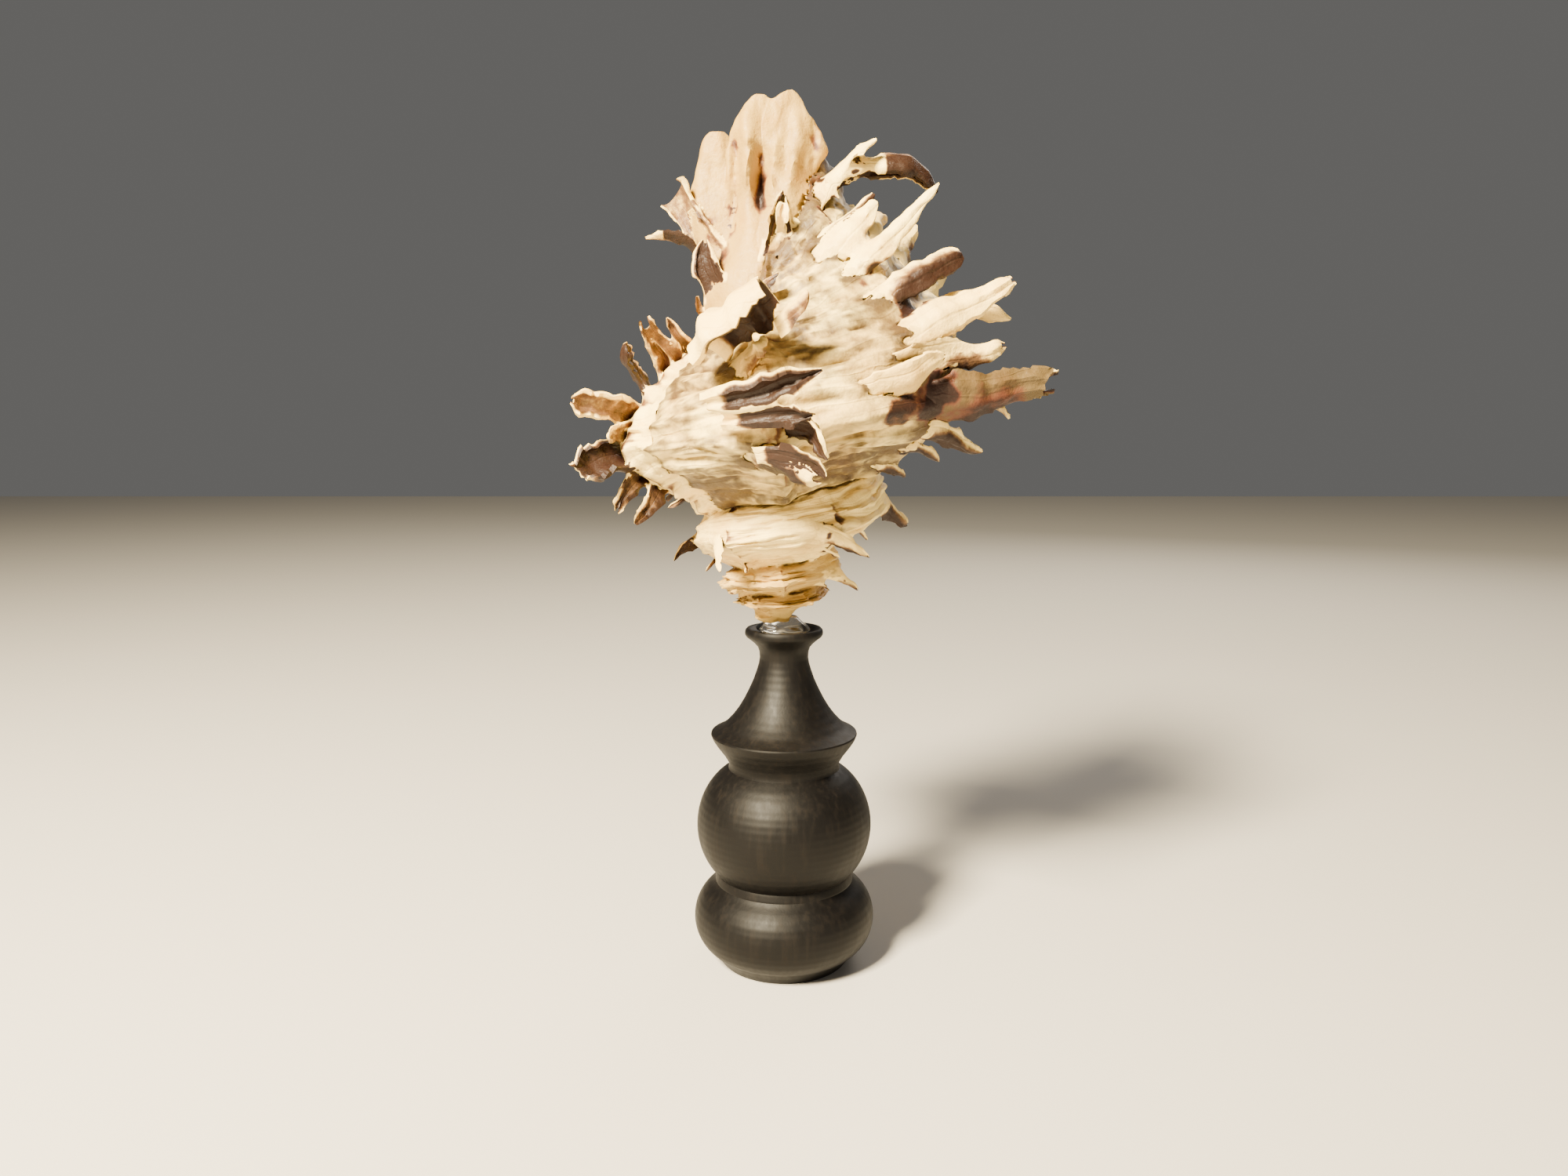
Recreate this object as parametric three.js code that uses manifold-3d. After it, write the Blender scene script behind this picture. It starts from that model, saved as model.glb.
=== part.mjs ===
// A murex shell standing apex down on a turned, ebonised wooden pillar.
// Millimetres, +Z up. The origin is the middle of the pillar's flat foot.
// The shell grows as a right-handed helical spiral: seen from above it grows counterclockwise.
import * as THREE from "three";
import { mergeVertices } from "three/addons/utils/BufferGeometryUtils.js";
import Module from "manifold-3d";

const wasm = await Module();
wasm.setup();

// ---- driving dimensions of the shell ----
const APEX_HEIGHT = 71;            // the spire's tip above the foot
const LEAN_FORWARD = 3;            // degrees, canal end towards -Y
const LEAN_SIDE = 0.4;             // degrees, canal end towards -X
const SHELL_OFFSET = -1.2;         // the spire stands a little to the left of the pillar's axis
const LIP_AZIMUTH = 38;            // degrees from +X, where growth ends
const WIDTH_PER_TURN = 1.72;       // growth of the radius in one whorl
const LENGTH_PER_TURN = 2.0;       // growth of the height in one whorl
const WHORL_HALVES = 8;            // half turns from the lip back to the apex
const HALF_TURN_STEPS = 9;
const VARIX_STEP = 65;             // degrees of growth between two varices
const VARIX_SLANT = 18;            // degrees by which the canal end of a varix lags its suture end
const VARIX_RISE = 0.1;            // share of the radius by which a varix stands up
const VARIX_BACK = 22;             // degrees over which a varix rises
const VARIX_FRONT = 7;             // degrees over which it drops off again
const CORE_RADIUS = 1.2;           // inside of the swept whorls, filled by the columella
const WALL_SINK = 3;               // how deep a frond is rooted in the wall
const FROND_FLATNESS = 0.45;       // a frond's thickness as a share of its width
const FROND_STEPS = 3;
const FROND_SIDES = 6;
const CANAL_SIDES = 10;

// The outline of the last whorl in a half plane through the axis: radius and height above the
// apex, from the suture over the shoulder to the neck of the canal.
const OUTLINE = [
  [15.5, 32], [20.5, 34.5], [27, 39.5], [33.5, 44], [37.2, 49], [37.6, 55.5],
  [35, 62.5], [30, 69], [24, 75], [18, 80.5], [13, 86], [10, 92],
];
const OUTLINE_STEPS = 14;

// The living chamber behind the mouth, which shrinks back along the spiral: its outline as radius
// and height, anticlockwise from the end nearer the spire, and the point that it narrows towards.
const CHAMBER_OUTLINE = [
  [19.5, 37.3], [24, 40.6], [29.3, 45], [33, 49.7], [34, 55.5], [31.6, 61.2], [27, 67], [21.5, 72.3],
  [16, 75.5], [11.5, 73.5], [9, 67], [8, 58], [8.8, 50], [11.5, 44], [15.3, 39.4],
];
const CHAMBER_CENTRE = { radius: 21, height: 56 };
const CHAMBER_START = 24;          // degrees past the lip
const CHAMBER_END = -330;          // degrees of growth, where the chamber is closed
const CHAMBER_STEPS = 22;

// ---- driving dimensions of the stand and the glue ----
const FOOT_RADIUS = 13.3;
const SAUCER_RADIUS = 7.8;
const SAUCER_FLOOR = 68.6;
const SAUCER_RIM = 69.8;
const STAND_SEGMENTS = 28;
const GLUE_GAP = 0.3;

const outlineCurve = new THREE.CatmullRomCurve3(
  OUTLINE.map(([radius, height]) => new THREE.Vector3(radius, height, 0)));

const degrees = Math.PI / 180;
const widthAt = (growth) => WIDTH_PER_TURN ** (growth / 360);
const lengthAt = (growth) => LENGTH_PER_TURN ** (growth / 360);

// How far a varix stands up at this growth angle: it rises slowly and drops off steeply.
function varixShare(growth, place) {
  const line = -growth + VARIX_SLANT * (0.5 - place);
  const past = ((-line % VARIX_STEP) + VARIX_STEP) % VARIX_STEP;
  const before = VARIX_STEP - past;
  return Math.max(0, 1 - before / VARIX_BACK, 1 - past / VARIX_FRONT);
}

// Directions outwards, with the growth and up, at a growth angle.
function directions(growth) {
  const angle = (growth + LIP_AZIMUTH) * degrees;
  return {
    out: new THREE.Vector3(Math.cos(angle), Math.sin(angle), 0),
    on: new THREE.Vector3(-Math.sin(angle), Math.cos(angle), 0),
    up: new THREE.Vector3(0, 0, 1),
  };
}

function spiralPoint(growth, radius, height) {
  const { out } = directions(growth);
  const point = out.multiplyScalar(radius * widthAt(growth));
  point.z = height * lengthAt(growth);
  return point;
}

function wallPoint(growth, place) {
  const { x: radius, y: height } = outlineCurve.getPoint(place);
  const swell = 1 + VARIX_RISE * varixShare(growth, place);
  return spiralPoint(growth, radius * swell, height);
}

// ---- closed solids ----
// Rings of points, joined side by side and closed by a fan at each end.
function closedLoft(rings) {
  const count = rings[0].length;
  const positions = rings.flat().flatMap((point) => point.toArray());
  const indices = [];
  for (let ring = 0; ring < rings.length - 1; ring++) {
    for (let side = 0; side < count; side++) {
      const next = (side + 1) % count;
      const a = ring * count + side;
      const b = ring * count + next;
      indices.push(a, b, b + count, a, b + count, a + count);
    }
  }
  const last = (rings.length - 1) * count;
  for (const [ring, start] of [[rings[0], 0], [rings.at(-1), last]]) {
    const middle = ring.reduce((sum, point) => sum.add(point), new THREE.Vector3());
    const centre = positions.length / 3;
    positions.push(...middle.divideScalar(count).toArray());
    for (let side = 0; side < count; side++) {
      const next = (side + 1) % count;
      if (start) indices.push(start + side, start + next, centre);
      else indices.push(next, side, centre);
    }
  }
  const geometry = new THREE.BufferGeometry();
  geometry.setAttribute("position", new THREE.Float32BufferAttribute(positions, 3));
  geometry.setIndex(indices);
  return geometry;
}

function signedVolume(vertices, triangles) {
  const corner = (index) => new THREE.Vector3().fromArray(vertices, 3 * index);
  let volume = 0;
  for (let i = 0; i < triangles.length; i += 3) {
    const [a, b, c] = [corner(triangles[i]), corner(triangles[i + 1]), corner(triangles[i + 2])];
    volume += a.dot(b.cross(c)) / 6;
  }
  return volume;
}

function toSolid(geometry) {
  const bare = geometry.clone();
  bare.deleteAttribute("normal");
  bare.deleteAttribute("uv");
  const merged = mergeVertices(bare, 1e-4);
  const vertProperties = merged.attributes.position.array;
  const triVerts = new Uint32Array(merged.index.array);
  if (signedVolume(vertProperties, triVerts) < 0) {
    for (let i = 0; i < triVerts.length; i += 3) {
      [triVerts[i], triVerts[i + 1]] = [triVerts[i + 1], triVerts[i]];
    }
  }
  return new wasm.Manifold(new wasm.Mesh({ numProp: 3, vertProperties, triVerts }));
}

function toGeometry(solid) {
  const mesh = solid.getMesh();
  const geometry = new THREE.BufferGeometry();
  geometry.setAttribute("position", new THREE.BufferAttribute(mesh.vertProperties, 3));
  geometry.setIndex(new THREE.BufferAttribute(mesh.triVerts, 1));
  geometry.computeVertexNormals();
  return geometry;
}

// ---- whorls and chamber ----
function whorlRing(growth) {
  const ring = [];
  for (let i = 0; i <= OUTLINE_STEPS; i++) ring.push(wallPoint(growth, i / OUTLINE_STEPS));
  ring.push(spiralPoint(growth, CORE_RADIUS, OUTLINE.at(-1)[1]));
  ring.push(spiralPoint(growth, CORE_RADIUS, OUTLINE[0][1]));
  return ring;
}

function halfTurn(index) {
  const rings = [];
  for (let i = 0; i <= HALF_TURN_STEPS; i++) {
    rings.push(whorlRing(-180 * (index + 1) + (180 * i) / HALF_TURN_STEPS));
  }
  return closedLoft(rings);
}

function columella() {
  const top = OUTLINE.at(-1)[1];
  const profile = [[0, 0.4], [1.8, 0.7], [3, 2.6], [3.4, 12], [6, 40], [7, 80], [4, top + 2],
    [0, top + 2]];
  return new THREE.LatheGeometry(profile.map(([r, z]) => new THREE.Vector2(r, z)), 12)
    .rotateX(Math.PI / 2);
}

function chamberRing(growth, share) {
  return CHAMBER_OUTLINE.map(([radius, height]) => spiralPoint(
    growth,
    CHAMBER_CENTRE.radius + share * (radius - CHAMBER_CENTRE.radius),
    CHAMBER_CENTRE.height + share * (height - CHAMBER_CENTRE.height),
  ));
}

function chamber() {
  const rings = [];
  for (let i = 0; i <= CHAMBER_STEPS; i++) {
    const growth = CHAMBER_END + ((CHAMBER_START - CHAMBER_END) * i) / CHAMBER_STEPS;
    rings.push(chamberRing(growth, i === 0 ? 0.5 : 1));
  }
  return closedLoft(rings);
}

// ---- siphonal canal: flattened tubes, centre and half sizes at each height ----
function canalRing([x, y, z, halfWidth, halfDepth]) {
  const ring = [];
  for (let side = 0; side < CANAL_SIDES; side++) {
    const turn = (side / CANAL_SIDES) * 2 * Math.PI;
    const across = halfWidth * Math.cos(turn);
    ring.push(new THREE.Vector3(x + across, y + halfDepth * Math.sin(turn), z));
  }
  return ring;
}

const CANALS = [
  // the open blade of the last canal
  [[-3, -3, 44, 6, 6], [-3, -3.5, 55, 10.5, 9], [-1.5, -2, 66, 12.5, 8.5], [0, -0.5, 74, 12, 7],
    [0, 0, 82, 9.5, 5], [0.4, 0, 89, 9.6, 4], [0.4, 0, 95, 8.4, 3], [0.2, 0, 99, 5, 1.6]],
  // the ends of two earlier canals, left standing beside it
  [[-5, 0, 58, 6, 6], [-7.5, 0, 74, 6, 4], [-10, 1, 84, 4, 2.6], [-11, 1, 92.5, 2.4, 1.3]],
  [[-7, 0, 56, 6, 5], [-11, 1, 70, 5, 3.5], [-15, 2, 77, 3.2, 2.2], [-20, 2, 82.5, 1.4, 1]],
];

// ---- fronds ----
// A frond row: place on the outline (0 suture, 1 canal neck), reach outwards, rise towards the
// canal, sweep with the growth, half width at the root and half width at the tip.
const LIP_FRONDS = [
  [0.12, 4, -3, 2, 1.6, 0.6], [0.21, 6, -5, 3, 2, 0.7], [0.3, 9, -6, 4, 2.4, 0.8],
  [0.4, 16, 0, 6, 4, 2], [0.48, 8, 3, 5, 2.2, 0.9], [0.57, 14, 7, 6, 3.4, 1.6],
  [0.67, 9, 7, 5, 2.6, 1.4], [0.77, 7, 1, 5, 2.4, 1],
];
const RIGHT_FRONDS = [
  [0.14, 2, -2, 4, 1.5, 0.6], [0.22, 3, -3, 5, 1.8, 0.6], [0.3, 5, -4, 7, 2.2, 0.7],
  [0.4, 12, 1, 9, 4.2, 2.6], [0.48, 7, 3, 5, 2.2, 1], [0.57, 9, 7.5, 10, 3.6, 1.8],
  [0.68, 8, 5, 8, 3.2, 2.2], [0.77, 9, 13, 9, 3, 0.8], [0.85, 3, 6, 4, 2.4, 1.2],
  [0.88, 3, 7, 7, 1.6, 0.6],
];
const MIDDLE_FRONDS = [
  [0.34, 7, -2, 7, 3, 1.8], [0.42, 12, 2, 6, 4.4, 2.6], [0.48, 7, 4, 5, 2.4, 1.2],
  [0.6, 4, 1, 1, 2.4, 1.4], [0.72, 9, 7, 2, 4, 3], [0.82, 3, 4, 3, 1.8, 0.8],
];
const LEFT_FRONDS = [
  [0.24, 6, -6, 2, 1.8, 0.7], [0.32, 5, -6, 2, 2, 0.8], [0.39, 9, -2, 3, 4.2, 2.6],
  [0.46, 4, 0, 2, 1.8, 1], [0.52, 11, 3, 2, 2.6, 1.9], [0.6, 4, 8, 1, 2.2, 1.4],
  [0.7, 6, 11, 2, 2.6, 1.2], [0.77, 3, 8, 2, 1.6, 0.8], [0.84, 2, 7, 2, 1.2, 0.5],
];
const SPIRE_FRONDS = [
  [0.2, 3, -4, 2, 1.8, 0.7], [0.38, 9, -9, 5, 3.2, 1],
];
const BODY_VARICES = [LIP_FRONDS, RIGHT_FRONDS, MIDDLE_FRONDS, LEFT_FRONDS, LEFT_FRONDS];
const SPIRE_VARICES = 13;

// Fronds that stand on the canal: root, bend and tip, then half width at root and tip.
const CANAL_FRONDS = [
  [[3, 0, 75], [15, -4, 93], [31, -3, 83], 3, 0.7],
  [[-10, 0, 66], [-16, -1, 76], [-24, -2, 74], 2, 0.7],
];

// A flat bar, oval in section, that narrows along a bent line.
function bar(root, bend, tip, across, rootHalf, tipHalf) {
  const line = new THREE.QuadraticBezierCurve3(root, bend, tip);
  const rings = [];
  for (let i = 0; i <= FROND_STEPS; i++) {
    const share = i / FROND_STEPS;
    const centre = line.getPoint(share);
    const along = line.getTangent(share);
    const thick = new THREE.Vector3().crossVectors(along, across).normalize();
    const wide = new THREE.Vector3().crossVectors(thick, along).normalize();
    const half = THREE.MathUtils.lerp(rootHalf, tipHalf, share);
    const ring = [];
    for (let side = 0; side < FROND_SIDES; side++) {
      const turn = (side / FROND_SIDES) * 2 * Math.PI;
      const point = centre.clone().addScaledVector(wide, half * Math.cos(turn));
      ring.push(point.addScaledVector(thick, half * FROND_FLATNESS * Math.sin(turn)));
    }
    rings.push(ring);
  }
  return closedLoft(rings);
}

function frond(varixGrowth, row, scale) {
  const [place, reach, rise, sweep, rootHalf, tipHalf] = row;
  const growth = varixGrowth + VARIX_SLANT * (0.5 - place);
  const { out, on, up } = directions(growth);
  const foot = wallPoint(growth, place);
  const tip = foot.clone().addScaledVector(out, reach * scale)
    .addScaledVector(up, rise * scale).addScaledVector(on, sweep * scale);
  const bend = foot.clone().addScaledVector(out, reach * scale * 0.45)
    .addScaledVector(up, rise * scale * 0.35);
  const root = foot.clone().addScaledVector(out, -WALL_SINK * scale)
    .addScaledVector(on, -WALL_SINK * scale);
  return bar(root, bend, tip, up, rootHalf * scale, tipHalf * scale);
}

function fronds() {
  const found = [];
  BODY_VARICES.forEach((rows, index) => {
    const growth = -VARIX_STEP * index;
    for (const row of rows) found.push(frond(growth, row, index > 3 ? 0.8 : 1));
  });
  for (let index = BODY_VARICES.length; index < SPIRE_VARICES; index++) {
    const growth = -VARIX_STEP * index;
    for (const row of SPIRE_FRONDS) found.push(frond(growth, row, widthAt(growth)));
  }
  for (const [root, bend, tip, rootHalf, tipHalf] of CANAL_FRONDS) {
    const [from, by, to] = [root, bend, tip].map((point) => new THREE.Vector3(...point));
    found.push(bar(from, by, to, new THREE.Vector3(0, 1, 0), rootHalf, tipHalf));
  }
  return found;
}

function shell() {
  const parts = [columella()];
  for (let index = 0; index < WHORL_HALVES; index++) parts.push(halfTurn(index));
  for (const rows of CANALS) parts.push(closedLoft(rows.map(canalRing)));
  parts.push(...fronds());
  const whole = parts.map(toSolid).reduce((sum, piece) => sum.add(piece));
  // The small voids left between the whorls stay solid: only the outer skin is kept.
  const skins = whole.subtract(toSolid(chamber())).decompose();
  const outer = skins.sort((a, b) => b.volume() - a.volume())[0];
  return toGeometry(outer)
    .rotateX(LEAN_FORWARD * degrees)
    .rotateY(-LEAN_SIDE * degrees)
    .translate(SHELL_OFFSET, 0, APEX_HEIGHT);
}

// ---- stand: one turning, from the foot up to the saucer, with round stretches as arcs ----
function arc(radius, height, across, up, from, to, steps) {
  const points = [];
  for (let i = 0; i <= steps; i++) {
    const turn = (from + ((to - from) * i) / steps) * degrees;
    points.push([radius + across * Math.cos(turn), height + up * Math.sin(turn)]);
  }
  return points;
}

function stand() {
  const profile = [
    [0, 0], [FOOT_RADIUS, 0],
    ...arc(10.6, 9.4, 8, 8.2, -58, 56, 7),     // half-round foot
    [14.2, 17.4],                              // waist
    ...arc(6, 28.6, 11.9, 12, -50, 62, 8),     // ball
    [11.4, 40.6], [11.2, 42.2],                // groove under the skirt
    [14.5, 47], [14.9, 48], [14.4, 48.5],      // sharp rim of the skirt
    [12, 50], [9.3, 53.2], [7.1, 57.2], [5.5, 61.2], [4.9, 63.8],
    [5.3, 66], [6.8, 67.5],                    // neck flaring to the saucer
    [SAUCER_RADIUS, 68.4], [SAUCER_RADIUS, 69.4], [SAUCER_RADIUS - 0.7, SAUCER_RIM],
    [5.6, SAUCER_FLOOR + 0.3], [5, SAUCER_FLOOR], [0, SAUCER_FLOOR],
  ];
  const points = profile.map(([r, z]) => new THREE.Vector2(r, z));
  return toGeometry(toSolid(
    new THREE.LatheGeometry(points, STAND_SEGMENTS).rotateX(Math.PI / 2)));
}

// ---- glue: a bead that fills the saucer and cups the blunt tip of the spire ----
function glueBead() {
  const foot = SAUCER_FLOOR + GLUE_GAP;
  const profile = [[0, foot], [4.5, foot], [5.3, foot + 1], [5.2, foot + 2.4], [4.5, foot + 3.8],
    [4, foot + 3.8], [2.6, foot + 2.3], [0, foot + 2]];
  const points = profile.map(([r, z]) => new THREE.Vector2(r, z));
  return toGeometry(toSolid(new THREE.LatheGeometry(points, 16).rotateX(Math.PI / 2)));
}

function piece(name, geometry, look) {
  const mesh = new THREE.Mesh(geometry, new THREE.MeshStandardMaterial(look));
  mesh.name = name;
  return mesh;
}

const object = new THREE.Group();
object.add(
  piece("stand", stand(), { color: 0x1c1b1a, roughness: 0.4, metalness: 0 }),
  piece("glue_bead", glueBead(), { color: 0xe9e4d2, roughness: 0.15, metalness: 0 }),
  piece("shell", shell(), { color: 0xe8cf9c, roughness: 0.55, metalness: 0 }),
);
export default object;
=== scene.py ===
"""A murex shell, spire down, fixed with clear glue on a turned and ebonised wooden pillar.

The shell is modelled in millimetres in its own frame: the origin is the tip of the spire, +Z runs to
the siphonal canal, and growth turns counterclockwise seen from above. Growth angles are in degrees,
0 at the lip and negative towards the spire. The finished pieces are in metres in the frame's place.
"""
import math
import random

import bmesh
import bpy
from mathutils import Matrix, Vector, noise
from mathutils.bvhtree import BVHTree
from mathutils.kdtree import KDTree


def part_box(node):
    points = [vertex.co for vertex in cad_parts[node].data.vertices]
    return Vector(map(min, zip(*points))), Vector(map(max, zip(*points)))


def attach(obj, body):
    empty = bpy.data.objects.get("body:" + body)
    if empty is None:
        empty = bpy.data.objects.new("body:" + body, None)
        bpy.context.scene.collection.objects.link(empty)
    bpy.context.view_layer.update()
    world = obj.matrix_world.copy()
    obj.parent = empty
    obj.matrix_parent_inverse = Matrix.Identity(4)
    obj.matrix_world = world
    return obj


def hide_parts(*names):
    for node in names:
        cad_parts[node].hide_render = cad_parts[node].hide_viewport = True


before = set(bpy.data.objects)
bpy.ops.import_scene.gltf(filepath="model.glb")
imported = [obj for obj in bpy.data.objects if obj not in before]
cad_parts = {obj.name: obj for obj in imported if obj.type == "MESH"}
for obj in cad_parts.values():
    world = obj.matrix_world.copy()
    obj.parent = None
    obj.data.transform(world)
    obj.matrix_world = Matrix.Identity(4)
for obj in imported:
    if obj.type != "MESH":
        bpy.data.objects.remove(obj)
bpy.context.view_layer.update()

MM = 0.001

# ---- the shell's driving values ----
LIP_AZIMUTH = 38
WIDTH_PER_TURN = 1.72
LENGTH_PER_TURN = 2.0
WORN_WIDTH = 0.05                  # how much wider, as a share of the last whorl, the first whorls are
VARIX_STEP = 65
VARIX_SLANT = 18
VARIX_HEIGHT = 1.9                 # mm on the last whorl, between its fronds
VARIX_BACK = 24                    # degrees over which a varix rises
VARIX_FRONT = 8                    # degrees over which it drops
LAST_RING = 5.5                    # degrees past the lip's crest, where the rolled rim ends
WHORLS = 4
CHAMBER_END = -255                 # degrees of growth, where the chamber is closed
CHAMBER_START = 24                 # degrees past the lip
LEAN = (3, -0.4)                   # degrees about X and Y
OFFSET = -1.2                      # mm along X from the stand's axis
TIP_ABOVE_APEX = 0.4               # the frame's shell starts this far above the apex
THREAD_PITCH = 1.45                # fine spiral threads
DEEPEST = -1.2                     # mm, so that no groove cuts through to the living chamber
OUTLINE = [(15.5, 32), (20.5, 34.5), (27, 39.5), (33.5, 44), (37.2, 49), (37.6, 55.5),
           (35, 62.5), (30, 69), (24, 75), (18, 80.5), (13, 86), (10, 92)]


# ---- curves ----
def spline(points, share):
    """A smooth curve through rows of numbers, share 0 to 1."""
    spans = len(points) - 1
    at = min(max(share, 0.0), 1.0) * spans
    i = min(int(at), spans - 1)
    t = at - i
    b, c = points[i], points[i + 1]
    a = points[i - 1] if i else [2 * p - q for p, q in zip(b, c)]
    d = points[i + 2] if i + 2 <= spans else [2 * q - p for p, q in zip(b, c)]
    return [0.5 * (2 * q + (r - p) * t + (2 * p - 5 * q + 4 * r - s) * t * t
                   + (3 * q - p - 3 * r + s) * t ** 3) for p, q, r, s in zip(a, b, c, d)]


def ramp(points, share):
    """Straight stretches through (share, value) points."""
    for (a, low), (b, high) in zip(points, points[1:]):
        if share <= b:
            return low + (high - low) * max(0.0, share - a) / (b - a)
    return points[-1][1]


def smooth(low, high, value):
    """An even ramp from 0 at low to 1 at high; high may be the smaller."""
    t = min(max((value - low) / (high - low), 0.0), 1.0)
    return t * t * (3 - 2 * t)


# ---- the spiral ----
def widen(growth):
    """The spiral's width at a growth angle; the first whorls are worn and blunt."""
    return WIDTH_PER_TURN ** (growth / 360) + WORN_WIDTH * smooth(-700, -1100, growth)


def lengthen(growth):
    return LENGTH_PER_TURN ** (growth / 360)


def directions(growth):
    """Outwards, and onwards with the growth."""
    angle = math.radians(growth + LIP_AZIMUTH)
    return Vector((math.cos(angle), math.sin(angle), 0)), Vector((-math.sin(angle), math.cos(angle), 0))


OUTLINE_POINTS = 400
OUTLINE_TABLE = [spline(OUTLINE, i / OUTLINE_POINTS) for i in range(OUTLINE_POINTS + 1)]
OUTLINE_RUN = [0.0]
for before, after in zip(OUTLINE_TABLE, OUTLINE_TABLE[1:]):
    OUTLINE_RUN.append(OUTLINE_RUN[-1] + math.dist(before, after))


def outline_at(place):
    """Radius, height, the outline's direction, and the run along it in mm, at a place from 0 to 1."""
    at = min(max(place, 0.0), 1.0) * OUTLINE_POINTS
    i = min(int(at), OUTLINE_POINTS - 1)
    t = at - i
    (r0, z0), (r1, z1) = OUTLINE_TABLE[i], OUTLINE_TABLE[i + 1]
    length = math.hypot(r1 - r0, z1 - z0)
    tangent = ((r1 - r0) / length, (z1 - z0) / length)
    run = OUTLINE_RUN[i] + t * length
    return r0 + (r1 - r0) * t, z0 + (z1 - z0) * t, tangent, run


def slant(place):
    """Degrees by which the growth lines run ahead of their middle at this place."""
    return VARIX_SLANT * (0.5 - place)


# ---- fronds ----
# place on the outline, reach outwards, rise to the canal, sweep with the growth, half width at the
# root and at the tip, brown outside and inside (0 cream to 1 brown), fork of the tip in mm, and the
# degrees by which its open side is turned from the growth's direction towards the spire.
LIP_FRONDS = [
    (0.12, 4, -3, 2, 1.6, 0.6, 0.5, 0.8, 0), (0.21, 6, -5, 3, 2, 0.7, 0.6, 0.8, 0),
    (0.3, 9, -6, 4, 2.4, 0.8, 0.7, 0.9, 1), (0.4, 16, 0, 6, 4, 2, 0.7, 0.9, 3),
    (0.48, 8, 3, 5, 2.2, 0.9, 0.4, 0.8, 1), (0.57, 14, 7, 6, 3.4, 1.6, 0.3, 0.8, 2),
    (0.67, 9, 7, 5, 2.6, 1.4, 0.5, 0.8, 1), (0.77, 7, 1, 5, 2.4, 1, 0.3, 0.7, 0),
]
RIGHT_FRONDS = [
    (0.14, 2, -2, 4, 1.5, 0.6, 0.9, 0.9, 0), (0.22, 3, -3, 5, 1.8, 0.6, 0.9, 0.9, 0),
    (0.3, 5, -4, 7, 2.2, 0.7, 0.9, 0.9, 0), (0.4, 12, 1, 9, 4.0, 2.6, 0.65, 1, 3.4, 25),
    (0.49, 7, 2, 6, 2.4, 1.2, 0.5, 0.9, 1), (0.57, 9, 7.5, 10, 3.4, 1.5, 0.1, 0.6, 1.2),
    (0.68, 8, 5, 8, 2.8, 2.6, 0.85, 0.9, 0), (0.77, 9, 13, 9, 2.1, 0.6, 0.05, 0.4, 0),
    (0.85, 3, 6, 4, 2.8, 1.4, 0.3, 0.8, 0), (0.88, 3, 7, 7, 2.4, 0.6, 0.8, 0.8, 0),
]
MIDDLE_FRONDS = [
    (0.33, 6, -3, 6, 3, 1.6, 0.9, 1, 1), (0.6, 3.4, 1, 1, 2.6, 1.8, 0.35, 0.5, 0),
    (0.82, 3, 4, 3, 1.8, 0.8, 0.5, 0.6, 0),
]
LEFT_FRONDS = [
    (0.24, 6, -6, 2, 1.8, 0.7, 0.6, 0.6, 0), (0.32, 5, -6, 2, 2.2, 0.9, 0.7, 0.6, 1),
    (0.39, 9, -2, 3, 4.2, 2.7, 0.75, 0.9, 1.4, 50), (0.46, 4, 0, 2, 2.2, 1.4, 0.3, 0.4, 0),
    (0.52, 11, 3, 2, 2.6, 2.1, 0.15, 0.5, 0.8), (0.6, 4, 8, 1, 2.4, 1.9, 0.7, 0.6, 0, 60),
    (0.69, 4.5, 8, 2, 3.0, 1.7, 0.25, 0.5, 1.6), (0.76, 4, 6, 2, 1.8, 0.6, 0.35, 0.6, 0.6),
    (0.73, 7, 5, 2, 1.8, 0.7, 0.3, 0.5, 0.6),
    (0.84, 2, 7, 2, 1.4, 0.6, 0.5, 0.5, 0),
]
SPIRE_FRONDS = [(0.2, 3, -4, 2, 1.8, 0.7, 0.5, 0.8, 0), (0.38, 9, -9, 5, 3.4, 1.2, 0.5, 0.8, 1)]
BODY_VARICES = [LIP_FRONDS, RIGHT_FRONDS, MIDDLE_FRONDS, LEFT_FRONDS, LEFT_FRONDS]
SPIRE_VARICES = 13

# Spiral ribs between the varices: place, height in mm, half width in mm.
RIBS = [(0.1, 0.9, 1.4), (0.19, 1.0, 1.5), (0.29, 1.3, 1.7), (0.39, 2.2, 2.2), (0.475, 1.3, 1.5),
        (0.53, 1.1, 1.4), (0.59, 1.8, 1.9), (0.67, 1.3, 1.6), (0.755, 1.5, 1.7), (0.83, 1.1, 1.4),
        (0.9, 0.9, 1.4)]
RIB_RUNS = [(outline_at(place)[3], high, wide) for place, high, wide in RIBS]


def varix_rows(index):
    if index < len(BODY_VARICES):
        return BODY_VARICES[index]
    return SPIRE_FRONDS


def swell_rows(index):
    """Where the fronds of a varix swell out of the wall: run along the outline, height, half width."""
    rows = varix_rows(index)
    if index == 2:
        rows = rows + [(0.42, 0, 0, 0, 5.5), (0.72, 0, 0, 0, 5.0), (0.5, 0, 0, 0, 3.0)]
    return [(outline_at(row[0])[3], 0.42 * row[4], 1.0 * row[4]) for row in rows]


SWELLS = [swell_rows(index) for index in range(SPIRE_VARICES + 12)]


def varix_share(ring):
    """How far a varix stands at this growth line, 0 to 1, and the degrees before and past one."""
    past = ring % VARIX_STEP
    before = VARIX_STEP - past
    rise = max(0.0, 1 - before / VARIX_BACK) ** 1.6
    drop = smooth(0, 1, 1 - past / VARIX_FRONT) if past < VARIX_FRONT else 0.0
    return max(rise, drop), before, past


def ridged(value):
    """A sharp ridge, 1 where the noise crosses 0."""
    return 1 - min(1.0, abs(value) * 2.4)


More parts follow.
